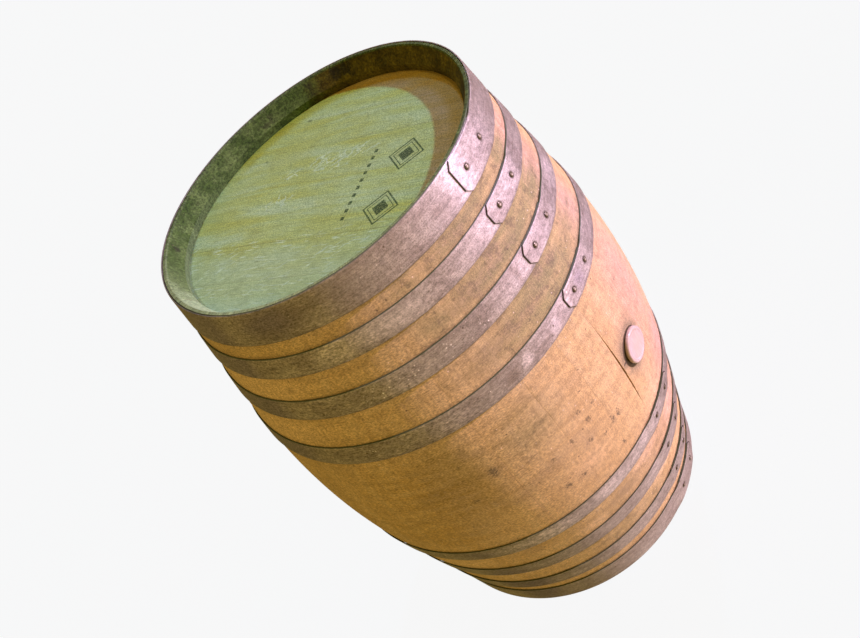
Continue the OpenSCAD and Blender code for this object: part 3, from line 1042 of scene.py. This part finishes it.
def oak_outer():
    n = new_material("oak_outer")
    u, v = n.unrolled()
    tint = n.attr("tint")
    seed = n.mul(tint, 37)
    # slow bends in the grain, then growth rings and pores drawn out along the stave
    sway = n.field(u, v, 9, 3, seed, 2)
    u_bent = n.plus(u, n.mul(n.minus(sway, 0.5), 0.02))
    broad = n.field(u_bent, v, 40, 2.5, seed, 3, 0.55)
    rings = n.field(u_bent, v, 300, 9, seed, 4, 0.6)
    pores = n.field(u_bent, v, 430, 60, seed, 2, 0.6)
    # marks that run round the barrel, from sanding and handling
    brushed = n.field(u, v, 7, 55, 1, 4, 0.6)
    scratch = n.field(u, v, 40, 460, 2, 2, 0.6)
    cloud = n.field(u, v, 11, 17, 5, 4, 0.6)
    mottle = n.field(u, v, 95, 80, 3, 5, 0.65)
    smudge = n.field(u, v, 38, 55, 7, 4, 0.65)
    grit = n.field(u, v, 430, 430, 4, 2, 0.7)

    wood = n.ramp(broad, ((0.3, (0.53, 0.345, 0.15)), (0.5, (0.58, 0.385, 0.178)),
                          (0.7, (0.62, 0.425, 0.215))))
    wood = n.coats(wood,
        (n.span(brushed, 0.4, 0.66, 0, 0.45), (0.41, 0.255, 0.105)),
        (n.span(rings, 0.48, 0.7, 0, 0.22), (0.43, 0.26, 0.12)),
        (n.span(tint, 0, 1, 0, 0.1), (0.47, 0.28, 0.12)),
        (n.span(mottle, 0.48, 0.68, 0, 0.3), (0.38, 0.24, 0.1)),
        (n.span(n.attr("rub"), 0.05, 0.8, 0, 0.7), (0.7, 0.465, 0.25)))
    # painted light: the staves facing the key light are tinted pink
    wood = n.mix(n.attr("painted_pink_light"), wood, (0.95, 0.855, 1.38), "MULTIPLY")
    # weathering: worn zones, browned zones that are partly stain and partly painted golden shade
    # on the side away from the key light, grey clouds, then grime in them
    worn = n.mul(n.attr("worn"), n.span(brushed, 0.3, 0.62, 0.55, 1))
    soiled = n.mul(n.span(smudge, 0.52, 0.64), n.span(worn, 0, 0.8, 0.14, 0.74))
    brown_stain_and_shade = n.mul(n.attr("brown_stain_and_shade"), n.span(brushed, 0.3, 0.62, 0.5, 1))
    smear = n.mul(n.attr("brown_stain_and_shade"), n.span(n.field(u, v, 14, 45, 11, 5, 0.65), 0.52, 0.66))
    grey = n.plus(n.mul(n.attr("grey"), 0.62), n.mul(n.span(cloud, 0.46, 0.72), 0.38))
    grey = n.mul(grey, n.span(mottle, 0.34, 0.58, 0.3, 1))
    wood = n.coats(wood,
        (n.mul(worn, 0.78), (0.168, 0.165, 0.066)),
        (soiled, (0.155, 0.112, 0.055)),
        (n.mul(brown_stain_and_shade, 0.85), (0.385, 0.225, 0.045)),
        (n.mul(smear, 0.45), (0.2, 0.125, 0.025)),
        (n.span(grey, 0.05, 0.8, 0, 0.75), (0.27, 0.19, 0.115)))
    # the joints have stayed darker on the side that was not sanded
    far_side = n.mul(n.span(u, -1.24, -1.45), n.span(u, -2.6, -2.42))
    joint = n.mul(n.math("POWER", n.attr("seam"), 6), n.plus(n.mul(far_side, 0.55), 0.16))
    # painted shade and grime beside the hoops, and the dark joints
    joints_grime_and_shade = n.most(n.mul(n.attr("hoop_grime_and_shade"), n.span(cloud, 0.3, 0.6, 0.15, 0.7)), joint)
    wood = n.mix(n.span(joints_grime_and_shade, 0.1, 1, 0, 0.7), wood, (0.14, 0.095, 0.05))
    # round the bung hole a stain has crept into the wood, and a painted shadow rings the collar
    place = n.ragged(u, v, 60, 0.012)
    bung_u = math.radians(FRONT) * BILGE_R * MM
    halo = n.spots(place, ((bung_u + 0.006, 0.472, 0.042, 0.04, 1),
                           (bung_u - 0.012, 0.47, 0.044, 0.046, 0.9),
                           (bung_u - 0.006, 0.432, 0.04, 0.036, 0.9)))
    from_bung = n.vector("DISTANCE", n.ragged(u, v, 90, 0.0012),
                         (bung_u - 0.0032, BUNG_Z * MM, 0), "Value")
    # painted shadow: a dark ring under the bung's collar, set a little towards the shaded side
    rim = n.span(from_bung, 0.0362, 0.0346)
    broken = n.span(n.field(u, v, 240, 200, 9, 3, 0.7), 0.42, 0.5, 0.1, 1)
    marks = n.mul(n.span(n.spots(n.ragged(u, v, 170, 0.018), DARK_SPOTS), 0.05, 0.65), broken)
    checks = n.spots(n.ragged(u, v, 30, 0.0015), HAIR_CHECKS)
    wood = n.mix(n.mul(halo, n.span(mottle, 0.34, 0.56, 0.4, 0.95)), wood, (0.3, 0.212, 0.125))
    close = n.mul(n.span(from_bung, 0.052, 0.038), n.span(smudge, 0.4, 0.56))
    wood = n.coats(wood,
        (n.mul(close, 0.6), (0.2, 0.15, 0.08)),
        # the painted shadow round the collar
        (n.mul(rim, 0.93), (0.055, 0.032, 0.012)),
        (n.mul(marks, 0.85), (0.125, 0.088, 0.05)),
        (checks, (0.05, 0.03, 0.018)),
        (n.mul(n.dots(u, v, 90, 0.2, 0.86), n.span(cloud, 0.46, 0.56, 0, 0.8)),
         (0.12, 0.08, 0.045)))
    pale = n.dots(u, n.plus(v, 0.37), 150, 0.22, 0.86)
    wood = n.mix(n.mul(pale, n.span(cloud, 0.52, 0.44, 0, 0.6)), wood, (0.8, 0.66, 0.55))

    x = n.place()[0]
    coarse = n.field(u, v, 200, 400, 6, 2, 0.7)
    wood = n.grain(wood, grit, 0.3, coarse, 0.36, n.span(x, -0.12, -0.27))
    wood = n.vary(wood, pores, 0.08)
    wood = n.vary(wood, scratch, 0.05)
    wood = n.vary(wood, mottle, 0.2)
    wood = n.mix(n.most(n.span(v, 0.945, 0.948), n.span(v, 0.0035, 0.0015)), wood,
                 (0.095, 0.122, 0.052))

    rough = n.span(mottle, 0.3, 0.7, 0.62, 0.82)
    height = n.plus(n.mul(rings, 0.45), n.plus(n.mul(scratch, 0.3), n.mul(mottle, 0.35)))
    height = n.minus(height, n.mul(checks, 1.5))
    return n.finish(wood, rough, n.bump(height, 0.3, 0.0006))


def oak_chime():
    n = new_material("oak_chime")
    u, v = n.unrolled()
    seed = n.mul(n.attr("tint"), 37)
    x, y = n.place()[:2]
    cloud = n.field(u, v, 22, 30, 1, 4, 0.6)
    saw = n.field(u, v, 60, 500, seed, 2, 0.5)
    blotch = n.field(u, v, 130, 130, 8, 4, 0.65)
    fine = n.field(u, v, 380, 380, seed, 3, 0.65)
    wood = n.mix(n.span(cloud, 0.35, 0.65), (0.045, 0.032, 0.003), (0.105, 0.078, 0.008))
    # partly moss, partly painted light: the inner wall across from the light, which the light
    # falls on, is painted green and paler, while the shaded near side stays brown; black mould
    # where it starts
    moss_and_lit_tint = n.mix(n.span(cloud, 0.36, 0.66), (0.03, 0.057, 0.008), (0.078, 0.12, 0.03))
    west = n.plus(x, n.mul(cloud, 0.1))
    # painted light: paler still further round the lit wall, and at the foot of the wall beside the
    # head on that side
    moss_and_lit_tint = n.coats(moss_and_lit_tint,
        (n.span(west, -0.09, -0.24), (0.168, 0.228, 0.088)),
        (n.span(west, -0.15, -0.22), (0.27, 0.35, 0.175)),
        (n.mul(n.span(v, 0.9222, 0.9205), n.span(x, 0.08, -0.16, 0.05, 0.45)), (0.17, 0.23, 0.11)))
    lean = n.plus(n.mul(x, -0.3), y)
    moss_and_lit_mask = n.span(n.plus(lean, n.mul(cloud, 0.12)), 0.08, 0.15)
    wood = n.mix(moss_and_lit_mask, wood, moss_and_lit_tint)
    mould = n.spots(n.ragged(u, v, 55, 0.05), [at(*m) for m in (
        (15, 936, 42, 11, 0.95), (29, 938, 16, 8, 0.8), (50, 933, 24, 8, 0.55),
        (116, 936, 13, 9, 0.75), (-60, 935, 30, 10, 0.6), (240, 934, 26, 10, 0.5))])
    wood = n.coats(wood,
        (n.mul(mould, n.span(blotch, 0.34, 0.52, 0.35, 1)), (0.018, 0.015, 0.009)),
        (n.span(saw, 0.55, 0.78, 0, 0.25), (0.13, 0.15, 0.05)),
        (n.mul(n.math("POWER", n.attr("seam"), 8), 0.12), (0.02, 0.024, 0.008)))
    rim = n.most(n.span(v, 0.9462, 0.9482), n.span(v, 0.0038, 0.0018))
    rim_green = n.mix(n.span(fine, 0.4, 0.6), (0.034, 0.056, 0.016), (0.088, 0.13, 0.042))
    rim_green = n.mix(n.span(west, -0.02, -0.18, 0, 0.7), rim_green, (0.19, 0.245, 0.105))
    south = n.plus(y, n.mul(x, 1.2))
    rim_green = n.mix(n.span(south, -0.27, -0.36, 0, 0.3), rim_green, (0.34, 0.42, 0.2))
    wood = n.coats(wood,
        (n.mul(rim, 0.85), rim_green),
        (n.span(fine, 0.6, 0.75, 0, 0.25), (0.15, 0.17, 0.07)))
    coarse = n.field(u, v, 190, 300, seed, 2, 0.7)
    wood = n.grain(wood, fine, 0.38, coarse, 0.46, n.span(x, -0.2, -0.05))
    wood = n.vary(wood, blotch, 0.24)
    height = n.plus(n.mul(saw, 0.5), n.mul(fine, 0.4))
    return n.finish(wood, n.span(fine, 0.3, 0.7, 0.78, 0.92), n.bump(height, 0.5, 0.0006),
                    Specular_IOR_Level=0.2)


def head_scuffs(n, u, v, u_bent):
    """Pale rub marks: short strokes near one side, worn patches and wandering scratches."""
    strokes = n.field(u_bent, v, 230, 26, 6, 2, 0.5)
    slanted = n.plus(n.mul(u, 0.8), n.mul(v, 0.6))
    across = n.field(slanted, n.plus(u, n.mul(v, -1)), 190, 22, 7, 2)
    low = n.span(u, -0.085, -0.115)
    low_side = n.mul(n.span(strokes, 0.58, 0.68), low)
    slant_low = n.mul(n.span(across, 0.62, 0.7), low)
    patch = n.spots(n.ragged(u, v, 24, 0.05), (
        (0.06, 0.01, 0.024, 0.055, 1), (0.075, -0.05, 0.018, 0.034, 0.9),
        (-0.02, 0.085, 0.018, 0.044, 0.9), (0.045, 0.095, 0.016, 0.034, 0.8)))
    middle = n.mul(n.span(across, 0.5, 0.64), patch)
    winding = n.noise(n.join(u, v, 12), 26, 2, 0.45)
    line = n.span(n.absolute(n.minus(winding, 0.5)), 0.03, 0.012)
    lines = n.mul(n.mul(line, n.span(patch, 0.1, 0.5)), n.span(strokes, 0.35, 0.5))
    both = n.most(n.most(low_side, slant_low),
                  n.most(middle, lines))
    return n.mul(both, 0.75)


def head_stamps(n, u, v):
    """Two plain lozenges and a row of short bars, all generic."""
    ink = 0
    for x0 in (-0.07, 0.0415):
        dx = n.absolute(n.minus(u, x0))
        dy = n.absolute(n.minus(v, -0.154))
        d = n.plus(dx, dy)
        ring = n.absolute(n.minus(d, 0.033))
        inner = n.absolute(n.minus(d, 0.025))
        ink = n.most(ink, n.span(ring, 0.0024, 0.0016))
        ink = n.most(ink, n.span(inner, 0.0014, 0.0008))
        ink = n.most(ink, n.span(d, 0.0165, 0.015))
    step = n.minus(n.math("PINGPONG", n.plus(u, 0.09), 0.008), 0.004)
    along = n.mul(n.span(u, -0.0905, -0.0895), n.span(u, 0.0715, 0.0705))
    high = n.span(n.absolute(n.plus(v, 0.085)), 0.0038, 0.003)
    bars = n.mul(n.mul(n.span(step, -0.0002, 0.0006), along), high)
    return n.most(ink, bars)


def oak_head(name, pale, stamped):
    n = new_material(name)
    u, v = n.unrolled()
    tint = n.attr("tint")
    seed = n.mul(tint, 23)
    sway = n.field(u, v, 6, 4, seed, 2)
    u_bent = n.plus(u, n.mul(n.minus(sway, 0.5), 0.03))
    broad = n.field(u_bent, v, 32, 3, seed, 3, 0.6)
    rings = n.field(u_bent, v, 230, 7, seed, 4, 0.6)
    fine = n.field(u_bent, v, 420, 60, seed, 2, 0.6)
    cloud = n.field(u, v, 9, 6, 3, 4, 0.6)
    smudge = n.field(u, v, 60, 34, 5, 4, 0.65)
    grit = n.field(u, v, 380, 380, 4, 2, 0.65)

    def toned(r, g, b):
        return tuple(min(1, c * k) for c, k in zip(pale, (r, g, b)))

    wood = n.ramp(broad, ((0.34, toned(1, 0.88, 0.42)), (0.46, toned(0.98, 0.96, 0.72)),
                          (0.58, toned(1.02, 1.04, 1.1)), (0.7, toned(1.08, 1.1, 1.25))))
    wood = n.coats(wood,
        (n.span(cloud, 0.46, 0.6, 0, 0.6), toned(0.95, 0.86, 0.48)),
        (n.span(rings, 0.52, 0.7, 0, 0.55), toned(0.84, 0.76, 0.45)),
        (n.span(tint, 0, 1, 0, 0.15), toned(0.9, 0.84, 0.6)),
        (n.span(smudge, 0.5, 0.66, 0, 0.35), toned(0.86, 0.8, 0.5)))
    if stamped:
        # the two boards nearest one side have stayed paler
        wood = n.coats(wood,
            (n.span(n.plus(u, n.mul(cloud, 0.06)), -0.06, -0.16, 0, 0.55),
             toned(1, 1.03, 1.25)),
            (head_scuffs(n, u, v, u_bent), toned(1.25, 1.28, 1.8)))
        worn_ink = n.span(n.noise(n.join(u, v, 8), 420, 3, 0.6), 0.36, 0.52, 0.45, 0.95)
        wood = n.mix(n.mul(head_stamps(n, u, v), worn_ink), wood, (0.022, 0.026, 0.012))
        knots = n.spots(n.ragged(u, v, 90, 0.008), (
            (0.181, 0.125, 0.0035, 0.006, 0.6), (0.09, 0.18, 0.003, 0.005, 0.5),
            (-0.15, 0.06, 0.0025, 0.006, 0.3)))
        wood = n.mix(knots, wood, (0.1, 0.07, 0.02))
        # painted shade: a yellow-orange band along the rim on one side, where the head lies in the
        # chime's shadow
        from_middle = n.vector("LENGTH", n.join(u, v), out="Value")
        shade_tint_band = n.mul(n.span(from_middle, 0.226, 0.246), n.span(u, 0, 0.12, 0, 0.9))
        wood = n.mix(shade_tint_band, wood, (0.93, 0.8, 0.3), "MULTIPLY")
    wood = n.mix(n.mul(n.math("POWER", n.attr("seam"), 8), 0.2), wood, toned(0.5, 0.46, 0.22))
    wood = n.grain(wood, grit, 0.36, grit, 0.18, n.span(u, -0.06, -0.17))
    wood = n.vary(wood, fine, 0.12)
    wood = n.vary(wood, smudge, 0.08)
    height = n.plus(n.mul(rings, 0.5), n.mul(fine, 0.4))
    return n.finish(wood, n.span(fine, 0.3, 0.7, 0.6, 0.75), n.bump(height, 0.25, 0.0005))


def steel_band():
    n = new_material("band_steel")
    u, v = n.unrolled()
    seed = n.mul(n.attr("tint"), 31)
    roll = n.field(u, v, 12, 420, seed, 3, 0.6)
    cloud = n.field(u, v, 16, 30, seed, 4, 0.6)
    mottle = n.field(u, v, 90, 130, seed, 4, 0.65)
    speck = n.field(u, v, 400, 400, seed, 3, 0.7)
    steel = n.mix(n.span(cloud, 0.35, 0.68), (0.345, 0.284, 0.262), (0.44, 0.375, 0.352))
    steel = n.mix(n.span(roll, 0.48, 0.75, 0, 0.3), steel, (0.53, 0.47, 0.45))
    # rubbed bright with painted highlight in places, dulled with patina and painted shade in
    # others
    edge_of = n.plus(n.mul(n.minus(cloud, 0.5), 1.1),
                     n.mul(n.minus(mottle, 0.5), 0.7))
    # painted highlight with real scuffs: pinkish bright patches
    rubbed_and_sheen = n.mul(n.span(n.plus(n.attr("scuff_and_sheen"), n.mul(edge_of, n.attr("scuff_and_sheen"))), 0.1, 0.95),
                   n.span(mottle, 0.3, 0.46, 0.7, 1))
    steel = n.mix(n.mul(rubbed_and_sheen, 0.9), steel, (0.64, 0.555, 0.555))
    patina_and_shade = n.span(n.plus(n.attr("patina_and_shade"), n.mul(edge_of, 0.4)), 0.15, 0.85)
    steel = n.mix(n.mul(patina_and_shade, 0.9), steel, (0.235, 0.192, 0.24))
    grime = n.mul(n.span(speck, 0.5, 0.66), n.span(cloud, 0.62, 0.3, 0.15, 0.8))
    steel = n.mix(n.mul(grime, 0.5), steel, (0.18, 0.13, 0.095))
    stain = n.mul(n.attr("stain"), n.span(mottle, 0.3, 0.5, 0.35, 1))
    steel = n.mix(n.mul(stain, 0.75), steel, (0.175, 0.125, 0.085))
    fleck = n.mul(n.dots(u, v, 215, 0.38, 0.64), n.span(n.attr("flecks"), 0.1, 0.45))
    steel = n.mix(n.mul(fleck, 0.95), steel, (0.9, 0.82, 0.82))
    stray = n.mul(n.dots(u, n.plus(v, 0.21), 120, 0.18, 0.88), 0.7)
    steel = n.mix(stray, steel, (0.8, 0.73, 0.7))
    pit = n.mul(n.dots(u, n.plus(v, 0.47), 80, 0.2, 0.82), n.span(cloud, 0.58, 0.44, 0.15, 1))
    steel = n.mix(n.mul(pit, 0.75), steel, (0.095, 0.06, 0.035))
    x = n.place()[0]
    coarse = n.field(u, v, 200, 400, seed, 2, 0.7)
    steel = n.grain(steel, speck, 0.4, coarse, 0.42, n.span(x, -0.17, -0.3))
    steel = n.vary(steel, roll, 0.1)
    steel = n.vary(steel, mottle, 0.19)
    rings = []
    for low, high, turn in HOOPS.values():
        stretch = BILGE_R / float(wood_r((low + high) / 2))
        rings += [(math.radians(theta) * BILGE_R * MM, (low + high) / 2 * MM,
                   8 * stretch * MM, 8 * MM, 1) for theta in rivet_places(low, high, turn)]
    # painted shade with grime in a ring round each rivet's foot
    rivet_ring_grime_and_shade = n.span(n.spots(n.ragged(u, v, 200, 0.0015), rings), 0.1, 0.9, 0, 0.8)
    steel = n.mix(rivet_ring_grime_and_shade, steel, (0.075, 0.052, 0.032))
    edge = n.most(n.span(n.attr("top_edge"), 0.35, 0.75),
                  n.mul(n.span(n.attr("low_edge"), 0.75, 1), 0.35))
    # painted shade along the hoops' edges, with some grime: dark away from the light, fading on
    # the sunny side
    edge_shade_by_side = n.span(x, 0.1, 0.19, 0.93, 0.35)
    steel = n.coats(steel,
        (n.mul(edge, edge_shade_by_side), (0.03, 0.048, 0.011)),
        # painted shadow along the lap's sheared end
        (n.span(n.attr("cut"), 0.2, 0.7, 0, 0.9), (0.03, 0.022, 0.014)))
    rough = n.span(speck, 0.35, 0.65, 0.38, 0.56)
    metal = n.mul(n.span(grime, 0.1, 0.8, 0.7, 0.4), n.minus(1, edge))
    height = n.plus(n.mul(roll, 0.25), n.mul(speck, 0.5))
    return n.finish(steel, rough, n.bump(height, 0.22, 0.0004), Metallic=metal)


def steel_rivet():
    n = new_material("rivet_steel")
    spots = n.noise(n.node("TexCoord", out="Object"), 900, 3, 0.6)
    steel = n.mix(n.span(spots, 0.4, 0.65), (0.15, 0.118, 0.078), (0.07, 0.05, 0.03))
    # painted shade at each rivet's foot, and a painted highlight with some wear on its tip
    steel = n.coats(steel,
        (n.span(n.attr("height"), 0.55, 0, 0, 0.9), (0.022, 0.018, 0.01)),
        (n.span(n.attr("height"), 0.84, 0.98, 0, 0.75), (0.52, 0.43, 0.36)))
    return n.finish(steel, n.span(spots, 0.3, 0.7, 0.26, 0.4), n.bump(spots, 0.3, 0.0004),
                    Metallic=0.6)


def turned_bung():
    n = new_material("bung_oak")
    u, v = n.unrolled()
    grain = n.field(u, v, 420, 40, 0, 3, 0.6)
    cloud = n.field(u, v, 55, 55, 2, 3, 0.6)
    wood = n.mix(n.span(cloud, 0.35, 0.7), (0.57, 0.425, 0.395), (0.52, 0.375, 0.32))
    wood = n.mix(n.span(grain, 0.45, 0.7, 0, 0.3), wood, (0.5, 0.34, 0.28))
    worn = n.spots(n.join(u, v), ((0.005, 0.451, 0.021, 0.023, 0.7),))
    wood = n.mix(n.mul(worn, n.span(cloud, 0.3, 0.5, 0.5, 1)), wood, (0.5, 0.395, 0.315))
    wood = n.vary(wood, grain, 0.1)
    rough = n.mix(n.attr("flat"), (0.24, 0.24, 0.24), (0.46, 0.46, 0.46))
    return n.finish(wood, rough, n.bump(grain, 0.2, 0.0004))


build_staves(oak_outer(), oak_chime())
build_heads(oak_head("oak_head", (0.488, 0.382, 0.28), True),
            oak_head("oak_under", (0.56, 0.4, 0.24), False))
band_steel = steel_band()
for name, (low, high, turn) in HOOPS.items():
    build_hoop(name, low, high, turn, band_steel)
build_rivets(steel_rivet())
build_bung(turned_bung())

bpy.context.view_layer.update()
